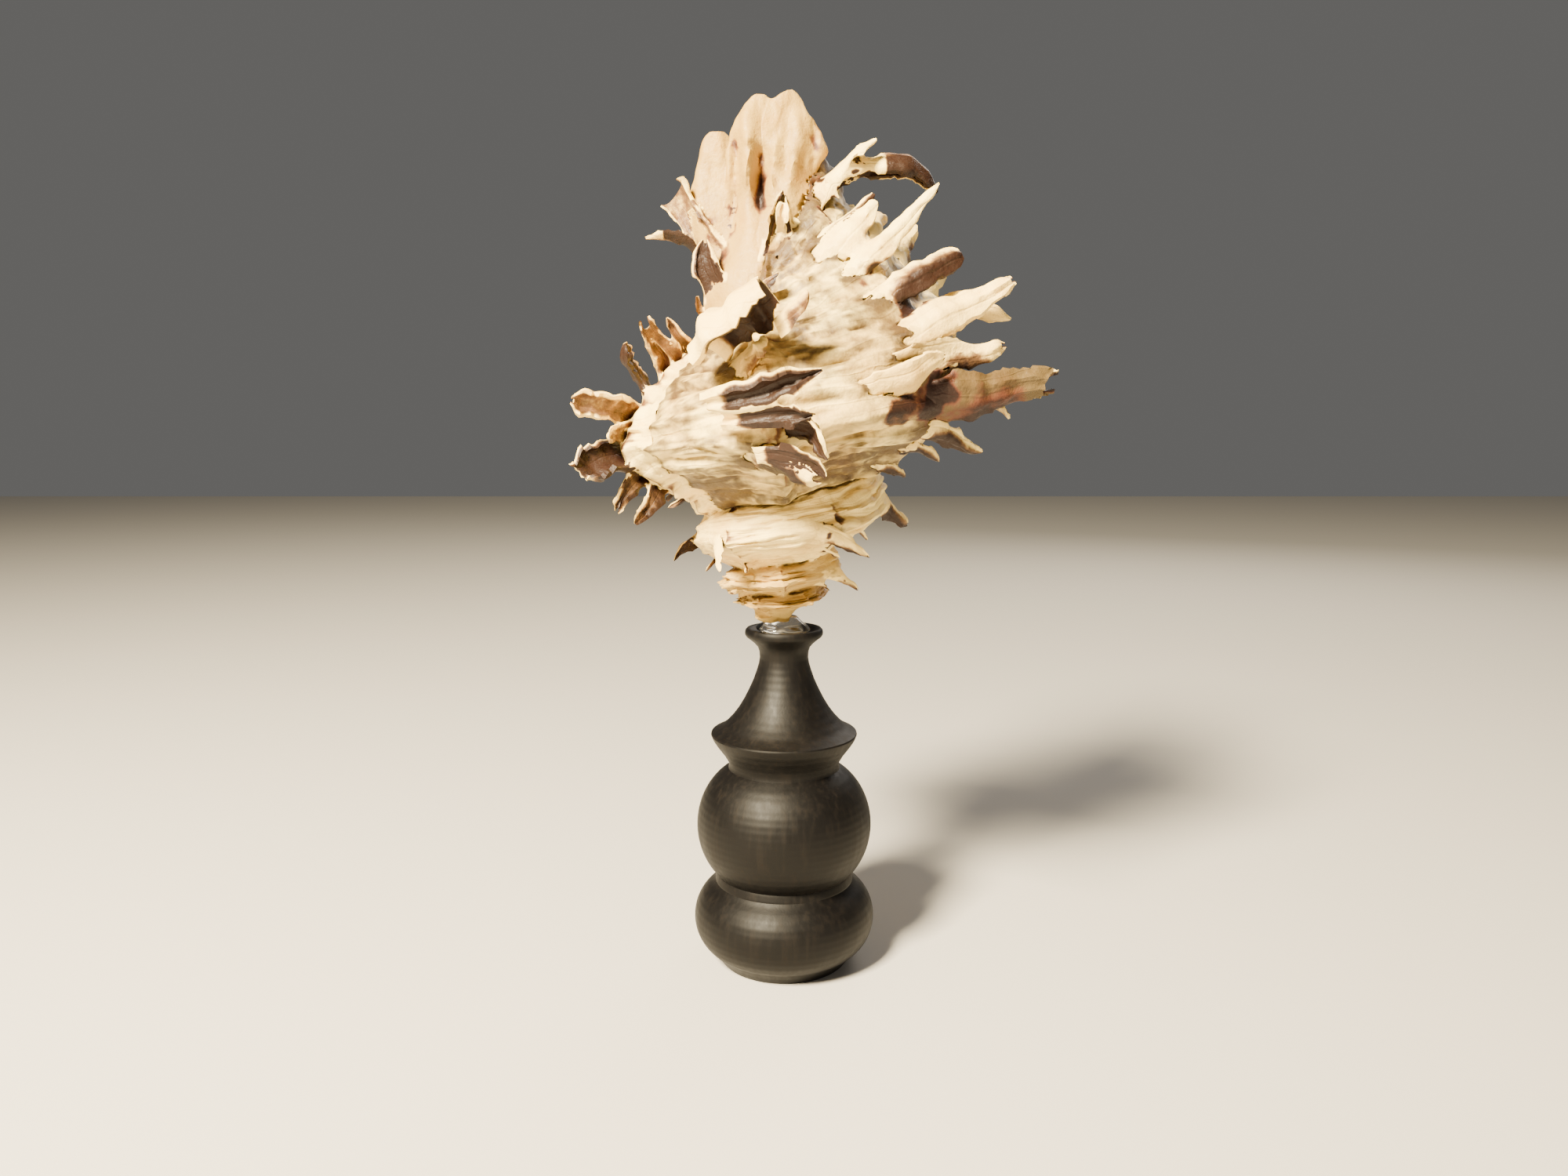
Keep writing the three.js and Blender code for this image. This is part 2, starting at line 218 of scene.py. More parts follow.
def relief(ring, run):
    """How far the wall stands out of the plain outline, and how deep in a groove it lies."""
    share, before, past = varix_share(ring)
    index = max(0, int(-ring // VARIX_STEP))
    wave = 2.2 * noise.noise((run * 0.12, ring * 0.032, 3.1))
    wave += 0.9 * noise.noise((run * 0.3, ring * 0.1, 7.7))
    there = run + wave
    rib = 0.0
    for centre, high, wide in RIB_RUNS:
        strong = 0.75 + 0.9 * noise.noise((centre, ring * 0.03, 2.2))
        rib += high * strong * math.exp(-((there - centre) / wide) ** 2)
    near = max(0.0, 1 - before / 30) ** 1.5
    if past < VARIX_FRONT:
        near = max(near, smooth(0, 1, 1 - past / VARIX_FRONT))
        index = max(0, round(-ring / VARIX_STEP))
    swell = 0.0
    for centre, high, wide in SWELLS[index]:
        swell += high * math.exp(-((run - centre) / wide) ** 2)
    phase = there / 2.9
    groove = 1 - abs(math.sin(math.pi * phase)) ** 0.8
    strength = max(0.0, 0.75 + 1.2 * noise.noise((math.floor(phase + 0.5) * 3.7, ring * 0.06, 8.2)))
    crease = ridged(noise.noise((there * 0.2, ring * 0.03, 12.5))) ** 6
    pits = max(0.0, noise.noise((run * 0.3, ring * 0.12, 4.4)) - 0.3)
    steps = 0.42 * noise.noise((ring * 0.3, run * 0.16, 5.0)) * (0.6 + share)
    bumps = 0.8 * noise.noise((ring * 0.09, run * 0.22, 15.0))
    bumps += 0.9 * noise.noise((ring * 0.032, run * 0.08, 1.7))
    scallop = 0.5 + 0.5 * math.cos(2 * math.pi * there / 4.1 + 2)
    edge = VARIX_HEIGHT * share * (0.65 + 0.35 * scallop)
    cut = 0.85 * groove * strength + 0.7 * crease + 0.9 * pits
    stands = max(edge + rib + swell * near + steps + bumps - cut, DEEPEST)
    return stands, min(1.0, groove * strength + 0.9 * crease + pits), there


def wall_point(ring, place):
    """A point on the wall, its slanted growth line named by ring, and its values for the paint."""
    growth = ring + slant(place) * smooth(-1380, -1300, ring)
    radius, height, (dr, dz), run = outline_at(place)
    high, deep, there = relief(ring, run)
    high *= 1 + 1.3 * smooth(-560, -900, ring)
    if ring > 0:
        roll = 1 - 0.27 * (ring / LAST_RING) ** 2
        radius = CHAMBER_CENTRE[0] + (radius - CHAMBER_CENTRE[0]) * roll
        height = CHAMBER_CENTRE[1] + (height - CHAMBER_CENTRE[1]) * roll
    radius += high * dz
    height -= high * dr * 0.9
    out, on = directions(growth)
    point = out * (radius * widen(growth))
    point.z = height * lengthen(growth)
    return point, growth, there, deep


# ---- the living chamber: its outline, and where it is centred ----
CHAMBER_CENTRE = (21, 56)
CHAMBER_OUTLINE = [(19.5, 37.3), (24, 40.6), (29.3, 45), (33, 49.7), (34, 55.5), (31.6, 61.2), (27, 67),
                   (21.5, 72.3), (16, 75.5), (11.5, 73.5), (9, 67), (8, 58), (8.8, 50), (11.5, 44),
                   (15.3, 39.4)]


def closed_spline(points, share):
    """A smooth closed curve through points, share 0 to 1 once round."""
    count = len(points)
    at = (share % 1.0) * count
    i = int(at)
    t = at - i
    a, b, c, d = (points[(i + k) % count] for k in (-1, 0, 1, 2))
    return [0.5 * (2 * q + (r - p) * t + (2 * p - 5 * q + 4 * r - s) * t * t
                   + (3 * q - p - 3 * r + s) * t ** 3) for p, q, r, s in zip(a, b, c, d)]


def chamber_point(growth, turn):
    """A point on the living chamber, which flares a little and ripples at the lip."""
    radius, height = closed_spline(CHAMBER_OUTLINE, turn)
    flare = 0.09 * smooth(-14, 2, growth)
    narrow = smooth(CHAMBER_END + 3, CHAMBER_END + 19, growth) * 0.999 + 0.001
    outer = smooth(15, 26, radius)
    ripple = 1 + outer * (flare + 0.012 * math.cos(turn * 110) * smooth(-10, 0, growth))
    radius = CHAMBER_CENTRE[0] + (radius - CHAMBER_CENTRE[0]) * ripple * narrow
    height = CHAMBER_CENTRE[1] + (height - CHAMBER_CENTRE[1]) * ripple * narrow
    out, _ = directions(growth)
    point = out * (radius * widen(growth))
    point.z = height * lengthen(growth)
    return point


# ---- solids ----
class Paint:
    """Where each modelled point lies on the shell, looked up again after the solids are joined."""
    points = []
    values = []

    @classmethod
    def note(cls, point, run=0.0, ring=0.0, stain_and_shade=0.0, inside=0.0, deep=0.0, tan=0.0):
        cls.points.append(point.copy())
        cls.values.append((run, ring, stain_and_shade, inside, deep, tan))


def rolled(name, around, along, place):
    """A closed solid: a grid rolled into a tube by place(along share, around share), its ends filled."""
    bm = bmesh.new()
    bmesh.ops.create_grid(bm, x_segments=around, y_segments=along, size=0.5)
    for vert in bm.verts:
        vert.co = place(vert.co.y + 0.5, (vert.co.x + 0.5) % 1.0)
    bmesh.ops.remove_doubles(bm, verts=bm.verts, dist=1e-5)
    rims = [edge for edge in bm.edges if edge.is_boundary]
    bmesh.ops.holes_fill(bm, edges=rims, sides=0)
    bmesh.ops.triangulate(bm, faces=[face for face in bm.faces if len(face.verts) > 4])
    bmesh.ops.recalc_face_normals(bm, faces=bm.faces)
    return finish_mesh(name, bm)


def finish_mesh(name, bm):
    mesh = bpy.data.meshes.new(name)
    bm.to_mesh(mesh)
    bm.free()
    piece = bpy.data.objects.new(name, mesh)
    bpy.context.scene.collection.objects.link(piece)
    return piece


def ring_steps(first, last, coarse):
    """Growth lines from first to last, close together where a varix drops off."""
    rings = [first]
    while rings[-1] < last - 1e-6:
        past = rings[-1] % VARIX_STEP
        before = VARIX_STEP - past
        if past < VARIX_FRONT:
            step = 1.1
        elif before < 8:
            step = min(1.4, max(0.5, before - 0.01))
        else:
            step = 2.0
        rings.append(min(last, rings[-1] + step * coarse))
    return rings


def whorl_solid(first, last, around, coarse):
    """A stretch of the whorl tube, closed towards the axis."""
    rings = ring_steps(first, last, coarse)
    columns = around + 3

    def place(along, turn):
        ring = rings[round(along * (len(rings) - 1))]
        column = round(turn * columns)
        if column <= around:
            point, growth, run, deep = wall_point(ring, column / around)
            _, before, past = varix_share(ring)
            after = math.exp(-past / 5.0) if past < 30 else 0.0
            patchy = 0.5 + 0.9 * noise.noise((run * 0.16, ring * 0.05, 21.0))
            # Brown just after each varix is the shell's own; the part that follows deep is painted shade in
            # the grooves.
            stain_and_shade = min(0.9, 0.75 * after * patchy + 0.25 * deep * patchy)
            tan = 0.7 * smooth(-420, -760, ring)
            tan += 0.35 * max(0.0, noise.noise((run * 0.07, ring * 0.02, 9.0)))
            Paint.note(point, run, ring, stain_and_shade, 0.0, deep, tan)
            return point
        out, _ = directions(ring)
        end = outline_at(1.0 if column == around + 1 else 0.0)
        point = out * (1.2 * widen(ring))
        point.z = end[1] * lengthen(ring)
        return point

    return rolled("whorl", columns, len(rings) - 1, place)


def column_solid():
    """The columella, which fills the whorls' axis."""
    profile = [(0.2, 0.4), (3.4, 0.5), (4.5, 2.2), (5, 5), (5, 12), (6, 40), (6.5, 64), (2, 76)]

    def place(along, turn):
        radius, height = ramp_row(profile, along)
        angle = 2 * math.pi * turn
        radius *= 1 + 0.5 * noise.noise((1.3 * math.cos(angle), 1.3 * math.sin(angle), 0.35 * height))
        point = Vector((radius * math.cos(angle), radius * math.sin(angle), height))
        Paint.note(point, tan=0.6)
        return point

    return rolled("columella", 28, 50, place)


def ramp_row(rows, share):
    """Straight stretches through rows of numbers, evenly spaced."""
    at = share * (len(rows) - 1)
    i = min(int(at), len(rows) - 2)
    return [a + (b - a) * (at - i) for a, b in zip(rows[i], rows[i + 1])]


# ---- siphonal canal: height, left and right margins, depth of the middle, half thickness ----
BLADE = [(44, -9, 3, -3, 6), (55, -13, 7, -3.5, 9), (66, -13.5, 10.5, -2, 8.5), (74, -11.5, 11.5, -0.5, 6.6),
         (80, -9.5, 9.6, 0, 4.8), (84, -9.2, 7.6, 0, 3.8), (87, -9, 8.2, 0, 3.1), (89.5, -8.8, 10.1, 0, 2.6),
         (92.3, -8.2, 9.0, 0, 2.2), (96, -7.4, 7.2, 0, 1.7), (98.5, -5.4, 5.8, 0, 1.2),
         (99.4, -4.2, 4.6, 0, 0.8)]
BLADE_TOP = [(-7, 96.3), (-5.4, 98.2), (-3.3, 99.3), (-1.6, 99.2), (-0.4, 98.3), (1.2, 99.7), (3.4, 100.2),
             (5.4, 98.9), (6.6, 96.6)]
# Grooves and ridges down the blade's front: x, lowest and highest z, half width, depth (ridges negative).
BLADE_FOLDS = [(-2.6, 78.5, 90.5, 1.3, 2.0), (-4.8, 74, 93, 1.2, -1.5), (-0.4, 78, 92, 1.1, -1.1),
               (-7.2, 74, 93, 1.0, 1.7), (4.9, 72, 90, 1.1, 1.5), (6.8, 82, 97, 0.9, 1.2),
               (1.9, 85, 98, 1.0, 1.0), (8.2, 68, 86, 1.1, 1.4), (-11, 66, 78, 2.2, 2.6),
               (3.4, 74, 97, 2.2, -1.6), (-5.5, 84, 98, 1.8, -1.4)]
OLD_CANAL = [(58, -11, 1, 0, 6), (70, -14.5, -2, 0.6, 5), (76, -15.8, -3, 1, 4), (82, -16.2, -5, 1.4, 2.8),
             (86, -14.8, -6, 1.6, 2), (90, -14.2, -7, 1.8, 1.5), (92.6, -12.8, -8.6, 2, 1.1),
             (93.6, -12, -9.4, 2, 0.8)]


def canal_solid(name, rows, seed, around, folds=(), top=()):
    """A folded plate standing along the canal, thick at its root, with a wavy margin."""
    def place(along, turn):
        z, left, right, middle, deep = spline(rows, along)
        angle = 2 * math.pi * turn
        wide = (right - left) / 2
        x = (left + right) / 2 + wide * math.cos(angle)
        margin = abs(math.cos(angle)) ** 3 * smooth(0.35, 0.8, along)
        wavy = noise.noise((z * 0.33, seed, math.copysign(3, x)))
        x += margin * math.copysign(0.75, math.cos(angle)) * wavy
        if top:
            z += (ramp(top, x) - 99.0) * smooth(0.72, 1.0, along)
        sheet = 2.0 * noise.noise((x * 0.16, z * 0.06, seed)) * smooth(0.2, 0.6, along)
        y = middle + sheet + deep * math.sin(angle)
        spot = Vector((x * 0.33, z * 0.13, seed + math.copysign(5, math.sin(angle))))
        crinkle = 1.1 * ridged(noise.noise(spot)) ** 2
        crinkle += 0.7 * noise.noise(spot * 2.3) + 0.4 * noise.noise(spot * 6)
        groove = 0.0
        if math.sin(angle) < 0:
            for at, low, high, half, depth in folds:
                lean = 0.08 * (z - 84) * (0.4 if at < 0 else 1)
                window = smooth(low - 1.5, low + 2, z) * (1 - smooth(high - 2, high + 1, z))
                groove += depth * window * math.exp(-((x - at - lean) / half) ** 2)
        room = min(1.0, deep / 3)
        y += math.copysign(1, -math.sin(angle)) * 0.5 * crinkle * room * abs(math.sin(angle)) + groove * room
        # Darker in the blade's grooves, which is painted shade, and in thin random streaks, which are the
        # shell's own tone.
        dark = min(0.75, max(0.0, groove) * 0.3) + 0.4 * ridged(noise.noise(spot * 0.8)) ** 5
        point = Vector((x, y, z))
        run = 0.4 * x + 3 * noise.noise((x * 0.1, z * 0.07, 3.0))
        deep = 0.35 + 0.6 * ridged(noise.noise(spot)) ** 3
        Paint.note(point, run=run, ring=z * 2, stain_and_shade=min(1.0, dark), deep=deep, tan=1.0)
        return point

    return rolled(name, around, 56, place)


def bezier(points, t):
    """A point on a bent line of four control points."""
    a, b, c, d = points
    s = 1 - t
    return a * s ** 3 + b * 3 * s * s * t + c * 3 * s * t * t + d * t ** 3


def gutter(line, side, halves, brown, draw, fork=0.0, hollow=0.75, wall=1.1, teeth=0.16, reach=95, blunt=0.0):
    """A frond: a folded gutter along a bent line, convex at its back, with crenulated edges.

    halves are its half widths from root to tip, brown its paint outside and inside, hollow its
    depth as a share of its width, and reach how far its fold turns round in degrees.
    """
    length = sum((bezier(line, (i + 1) / 8) - bezier(line, i / 8)).length for i in range(8))
    along_steps = int(min(36, 7 + length * 1.1))
    half_around = int(min(16, 5 + max(halves) * 2.2))
    around = 2 * half_around + 2
    phase = draw.uniform(0, 6)
    tooth = draw.uniform(1.7, 2.5)

    def place(along, turn):
        t = along
        centre = bezier(line, t)
        direction = (bezier(line, min(1, t + 0.01)) - bezier(line, max(0, t - 0.01))).normalized()
        back = direction.cross(side).normalized()
        across = back.cross(direction).normalized()
        bent = 0.16 * max(halves) * smooth(0.2, 0.7, t)
        centre = centre + across * bent * math.sin(t * 5 + phase)
        centre = centre + back * bent * math.sin(t * 7 + 1.7 * phase)
        end = math.sqrt(max(0.04, 1 - smooth(0.84, 1.04, t) ** 2))
        end = max(end, blunt, 0.75 if fork > 1 else 0.0)
        uneven = 1 + 0.3 * noise.noise((length * t * 0.3, phase, 1.0))
        half = spline([(value,) for value in halves], t)[0] * end * uneven
        deep = half * hollow
        thick = min(0.55 * half, wall * ramp([(0, 1.3), (0.4, 1.0), (1, 0.6)], t))
        column = round(turn * around)
        outer = column <= half_around
        share = column / half_around if outer else 1 - (column - half_around - 1) / half_around
        which = 2 * share - 1
        notch = abs(math.sin(length * t / tooth * math.pi + phase + which)) * smooth(0.45, 0.65, t)
        notch += 0.6 * noise.noise((length * t * 0.9, phase, which)) * smooth(0.35, 0.55, t)
        turned = math.radians(reach) * (1 + teeth * (notch - 0.6) * abs(which) ** 4) * which
        rib = 0.26 * math.cos(which * halves[1] * 2.6) * (1.0 if outer else 0.0) * min(1.0, half / 2)
        rough = 0.4 * noise.noise(centre * 0.4 + Vector((which * 1.5, 0, phase)))
        cut = 0.0 if outer else thick
        spread = fork * smooth(0.55, 1.0, t) * abs(which) ** 3 - 0.35 * fork * smooth(0.8, 1.0, t)
        point = (centre + across * ((half - cut + rib + rough) * math.sin(turned))
                 + back * ((deep - cut + rib + rough) * math.cos(turned) - deep * 0.3) + direction * spread)
        patch = 0.85 + 0.4 * noise.noise((t * 1.6, phase, which * 0.5))
        if outer:
            # The outside of a frond is browner where it faces down: painted shade on its underside.
            underside_shade = 1 - 0.75 * math.copysign(1, across.z) * math.sin(turned)
            pale_tip = 1 - 0.8 * smooth(0.7, 0.95, t) if fork > 0.9 else 1
            stain_and_shade = brown[0] * patch * underside_shade * smooth(0.05, 0.5, t) * pale_tip
        else:
            stain_and_shade = brown[1] * (0.85 + 0.3 * patch) * smooth(0.05, 0.3, t)
        # Inside a gutter deep is 0.4, which paints shade into its hollow.
        Paint.note(point, run=half * turned, ring=length * t * 2, stain_and_shade=stain_and_shade, deep=0.0 if outer else 0.4)
        return point

    return rolled("frond", around, along_steps, place)


def wall_frond(ring, row, scale, draw):
    """One frond of a varix, rooted in the wall behind its crest."""
    place, reach, rise, sweep, root_half, tip_half, outside, within, fork = row[:9]
    twist = row[9] if len(row) > 9 else 0
    foot = wall_point(ring - 0.5, place)[0]
    growth = ring + slant(place)
    out, on = directions(growth)
    _, _, (dr, dz), _ = outline_at(place)
    side = (out * dr + Vector((0, 0, 1)) * dz).normalized()
    normal = (out * dz - Vector((0, 0, 1)) * dr).normalized()
    tip = foot + (out * reach + Vector((0, 0, rise)) + on * sweep) * scale
    start = wall_point(ring - 17, place)[0] - normal * root_half * scale * 1.0
    shoulder = foot - normal * root_half * scale * 0.55 - on * 1.2 * scale
    if twist:
        side = Matrix.Rotation(math.radians(twist), 3, (tip - foot).normalized()) @ side
    bend = foot + (tip - foot) * 0.42 + normal * reach * 0.13 * scale
    halves = [root_half * 0.8, root_half * 1.25, (root_half + tip_half) * 0.52, tip_half]
    return gutter([start, shoulder, bend, tip], side, [half * scale for half in halves], (outside, within),
                  draw, fork=fork * scale, wall=1.2 * min(1.0, max(0.6, scale)), teeth=0.3)


# Fronds off the rows: line, side, half widths, brown outside and inside, and what is special about each.
LOOSE_FRONDS = [
    # the horn beside the canal, bent at a knot with a folded spur
    ([(1, -3, 70), (6, -2, 78), (10, -1, 83), (15.4, 0.2, 87.6)],
     (0, 1, 0), (4.2, 4.6, 3.8, 3.2), (0.5, 0.9), {"hollow": 0.75, "reach": 120, "blunt": 0.9}),
    ([(13, 0, 85.6), (18, 0.8, 88.6), (26, 2, 88.0), (31.2, 3.2, 83)],
     (0, 1, 0), (3.4, 3.2, 2.5, 1.1), (0.7, 0.9), {"hollow": 0.85, "reach": 130}),
    ([(12.2, -1.6, 84.5), (13.6, -2.6, 87.6), (15.4, -3.2, 90.2), (18.8, -3.6, 90.8)],
     (0, 1, 0), (1.8, 2.6, 2.2, 0.7), (0.0, 0.3), {"hollow": 0.6, "reach": 100}),
    # old canal tips, flared like spouts
    ([(-7, -2, 66), (-12, -2, 71), (-14, -1, 78), (-19.0, -0.5, 82.6)],
     (1, -0.9, 0.7), (3.4, 3.4, 3.2, 4.2), (0.0, 0.5),
     {"fork": 0.8, "hollow": 0.6, "reach": 95, "blunt": 0.9}),
    ([(-7, -5, 58), (-11, -6, 63), (-12.5, -6.4, 68), (-12.4, -7, 73)],
     (1, -0.4, 0.2), (3.6, 3.4, 2.8, 1.4), (0.1, 0.8),
     {"fork": 0.6, "hollow": 0.6, "reach": 100, "teeth": 0.25}),
    ([(-10, 0, 65), (-14, -1, 73), (-18, -2, 77), (-24.2, -2, 74.4)],
     (0, 1, 0), (2.8, 2.5, 1.8, 0.7), (0.85, 0.9), {"hollow": 0.8, "reach": 100}),
    # the small hood low on the canal, and the pale knob in it
    ([(-0.6, -5, 65), (-0.8, -8.4, 69), (0.4, -8.9, 75), (2.0, -6.4, 82)],
     (-1, -0.3, 0), (1.8, 2.6, 2.4, 1.0), (0.1, 1.0), {"hollow": -0.7, "reach": 95}),
    ([(0.9, -6, 74), (1.0, -8, 75.2), (1.1, -9.8, 76.6), (1.6, -9.4, 79.5)],
     (1, 0, 0), (1.0, 1.1, 1.2, 1.1), (0, 0.2), {"hollow": 0.9, "reach": 120, "blunt": 0.7}),
    # the middle varix: hood with its spur, and the saw-edged gutter with its lower lip and lobes
    ([(-11, -28, 52), (-8, -31, 56), (-4.6, -33, 59.2), (-0.6, -34, 61.4)],
     (0.62, 0.7, 0.1), (5.0, 5.8, 5.2, 4.2), (0.0, 1),
     {"fork": 0.5, "hollow": 1.15, "reach": 86, "blunt": 0.98, "teeth": 0.08, "wall": 1.2}),
    ([(1.0, -30.5, 57.6), (2.4, -32.8, 58.8), (3.6, -34, 60), (5.6, -34.6, 62.4)],
     (0.3, 0, 1), (2.4, 2.2, 1.4, 0.5), (0.5, 0.9), {"hollow": 0.6}),
    ([(-12, -35.0, 44.6), (-5, -40.0, 45.6), (1.5, -41.4, 47.2), (7.6, -41.4, 50)],
     (0.15, 0.12, -1), (1.8, 2.6, 2.3, 0.6), (0.1, 1),
     {"hollow": 1.2, "reach": 86, "teeth": 0.3, "wall": 1.3}),
    ([(-9, -35, 42.0), (-3, -39.0, 42.6), (2.4, -40.4, 42.8), (6.4, -40.2, 43.6)],
     (0.15, 0.3, -1), (1.6, 2.2, 2.0, 0.8), (0.6, 1), {"hollow": 1.1, "reach": 92, "teeth": 0.35}),
    ([(-1, -31, 42), (3, -36.4, 42), (6.4, -39.2, 40.0), (9, -40.8, 36.6)],
     (0.5, 0.2, -1), (3.0, 3.8, 3.0, 1.4), (1, 1), {"hollow": 0.55, "teeth": 0.2}),
    ([(-4, -33, 36), (1, -36.0, 37), (5, -37.0, 35.6), (8, -37.4, 32.6)],
     (0.4, 0.2, -1), (2.0, 2.4, 1.9, 0.8), (0.95, 1), {"hollow": 0.6, "teeth": 0.25}),
    # plates and spurs among the right hand fronds
    ([(19.5, -24, 51.6), (23.5, -22.5, 52.8), (29, -19, 53.2), (37, -15, 53.2)],
     (0, -0.8, 1), (1.6, 2.3, 2.1, 0.9), (0.05, 0.8), {"hollow": 0.5, "reach": 80, "teeth": 0.2}),
    ([(14, -27, 46), (21, -27, 47.6), (26, -25.6, 50), (29, -24, 51.4)],
     (0.2, -0.5, 1), (3.0, 3.4, 2.8, 1.2), (0.2, 1), {"fork": 0.8, "hollow": 0.5, "teeth": 0.3}),
    ([(34, -14, 46), (38, -14, 45), (41, -13, 43.6), (42.6, -12.6, 40.8)],
     (0.6, 0, 0.8), (1.2, 1.6, 1.2, 0.5), (0.4, 0.9), {"hollow": 0.6}),
    ([(30, -9, 61), (34, -9, 62), (39, -8, 60.6), (43.6, -7, 58.8)],
     (0, -0.6, 1), (1.6, 2.2, 1.6, 0.6), (0.3, 0.8), {"hollow": 0.6}),
]

# Brown patches in hollows, in the shell's frame: centre, radius, strength. They are partly the shell's own
# brown and partly painted shade, as they grow darker where a point is more shut in.
PATCHES = [((17, -17, 69), 6.0, 1.0), ((24, -15, 62.5), 5.0, 1.0), ((-12.4, -3, 78), 3.2, 0.7),
           ((-11, -5, 73.5), 3.4, 0.75), ((28, -21, 45), 6.5, 0.9), ((22, -26, 43.5), 5.0, 0.8),
           ((-1, -37, 39.5), 5.0, 0.8), ((6, -36, 44), 4.0, 0.9),
           ((-14, -30, 30), 5.0, 0.4), ((4, -28, 24), 3.0, 0.75), ((-9, -24, 19), 2.4, 0.7),
           ((1, -18, 12), 2.2, 0.5)]


def all_fronds():
    """The varices' rows, varied by chance on the hidden side and the spire, and the loose fronds."""
    draw = random.Random(11)
    made = []
    for index in range(SPIRE_VARICES):
        ring = -VARIX_STEP * index
        body = index < len(BODY_VARICES)
        for row in varix_rows(index):
            if index > 3:
                moved = [row[0] + draw.uniform(-0.02, 0.02)]
                resized = [value * draw.uniform(0.8, 1.15) for value in row[1:6]]
                browns = [draw.uniform(0.2, 0.8), draw.uniform(0.5, 0.95)]
                row = moved + resized + browns + [draw.choice((0, 0, 1, 2)), draw.uniform(-30, 60)]
            made.append(wall_frond(ring, row, (0.8 if index > 3 else 1) if body else widen(ring), draw))
    for points, side, halves, brown, special in LOOSE_FRONDS:
        line = [Vector(point) for point in points]
        made.append(gutter(line, Vector(side).normalized(), halves, brown, draw, **special))
    return made


# ---- joining ----
def join_pair(base, other, operation):
    """Adds one whole solid to another, or takes it away."""
    change = base.modifiers.new("join", "BOOLEAN")
    change.operation = operation
    change.solver = "MANIFOLD"
    change.object = other


def settle(bases, others):
    """Keeps what the joins gave, and drops the solids they used up."""
    graph = bpy.context.evaluated_depsgraph_get()
    joined = [bpy.data.meshes.new_from_object(base.evaluated_get(graph)) for base in bases]
    for base, mesh in zip(bases, joined):
        base.modifiers.clear()
        base.data = mesh
    for other in others:
        bpy.data.objects.remove(other)


def join_all(solids):
    """Joins solids in pairs, then the pairs, until one is left."""
    while len(solids) > 1:
        bases, others = solids[0:len(solids) - 1:2], solids[1::2]
        odd = solids[-1:] if len(solids) % 2 else []
        for base, other in zip(bases, others):
            join_pair(base, other, "UNION")
        settle(bases, others)
        solids = bases + odd
    return solids[0]


def chamber_cutter():
    def place(along, turn):
        growth = CHAMBER_END + (CHAMBER_START - CHAMBER_END) * along
        point = chamber_point(growth, turn)
        Paint.note(point, inside=1.0)
        return point
    return rolled("chamber", 48, 76, place)


def canal_cutter():
    """The slit of the siphonal canal, open along the side that faces the mouth."""
    rows = [(11, 8.5, 66, 3, 4), (6, 8, 74, 2.4, 3.6), (2.5, 6, 82, 1.7, 2.8), (1, 4, 90, 1.3, 2.2),
            (0.5, 2.8, 97, 1.1, 1.9), (0.4, 2.2, 103, 1.2, 1.9)]

    def place(along, turn):
        x, y, z, wide, deep = spline(rows, along)
        angle = 2 * math.pi * turn
        point = Vector((x + wide * math.cos(angle), y + deep * math.sin(angle), z))
        Paint.note(point, inside=0.8)
        return point
    return rolled("slit", 20, 40, place)


def build_shell():
    solids = [column_solid()]
    for index in range(2 * WHORLS):
        body = index < 3
        solids.append(whorl_solid(-180 * (index + 1), LAST_RING if index == 0 else -180 * index,
                                  116 if body else 60, 1.2 if body else 2.4))
    solids.append(canal_solid("blade", BLADE, 2.0, 74, BLADE_FOLDS, BLADE_TOP))
    solids.append(canal_solid("old canal", OLD_CANAL, 5.0, 48))
    solids += all_fronds()
    whole = join_all(solids)
    for cutter in (chamber_cutter(), canal_cutter()):
        join_pair(whole, cutter, "DIFFERENCE")
        settle([whole], [cutter])
    return whole


SHELL = build_shell()


# ---- the paint's coordinates, looked up from the modelled points ----
MERGED = 0.003                     # mm between points that are one
NEW_POINT = 0.004                  # mm from any modelled point: the point was made by a join
JOIN_REACH = 4                     # edges on each side of a join that are softened with it
JOIN_PASSES = 9


def set_values(mesh, name, values):
    layer = mesh.attributes.new(name, "FLOAT", "POINT")
    layer.data.foreach_set("value", values)


def soften_joins(mesh, tree):
    """Rounds the creases where two solids met."""
    bm = bmesh.new()
    bm.from_mesh(mesh)
    bmesh.ops.remove_doubles(bm, verts=bm.verts, dist=MERGED)
    bmesh.ops.triangulate(bm, faces=bm.faces)
    joins = {vert for vert in bm.verts if tree.find(vert.co)[2] > NEW_POINT}
    for _ in range(JOIN_REACH):
        joins |= {edge.other_vert(vert) for vert in joins for edge in vert.link_edges}
    for _ in range(JOIN_PASSES):
        bmesh.ops.smooth_vert(bm, verts=list(joins), factor=0.5,
                              use_axis_x=True, use_axis_y=True, use_axis_z=True)
    bm.to_mesh(mesh)
    bm.free()


SHADE_RAYS = 10
SHADE_REACH = 13.0                 # mm
GOLDEN_TURN = 2.39996              # radians


# The shell's paint darkens with this value: painted shade in recesses.
def shade_of(mesh):
    """How shut in each point is, from 0 in the open to 1 in a deep recess."""
    bm = bmesh.new()
    bm.from_mesh(mesh)
    tree = BVHTree.FromBMesh(bm)
    bm.free()
    rays = []
    for i in range(SHADE_RAYS):
        up = math.sqrt((i + 0.5) / SHADE_RAYS)
        turn = i * GOLDEN_TURN
        rays.append((up, math.sqrt(1 - up * up) * math.cos(turn), math.sqrt(1 - up * up) * math.sin(turn)))
    shut = []
    for vert in mesh.vertices:
        normal = vert.normal
        first = normal.orthogonal().normalized()
        second = normal.cross(first)
        start = vert.co + normal * 0.06
        total = 0.0
        for up, a, b in rays:
            hit = tree.ray_cast(start, normal * up + first * a + second * b, SHADE_REACH)
            if hit[3] is not None:
                total += 1 - (hit[3] / SHADE_REACH) ** 1.5
        shut.append(total / SHADE_RAYS)
    return shut


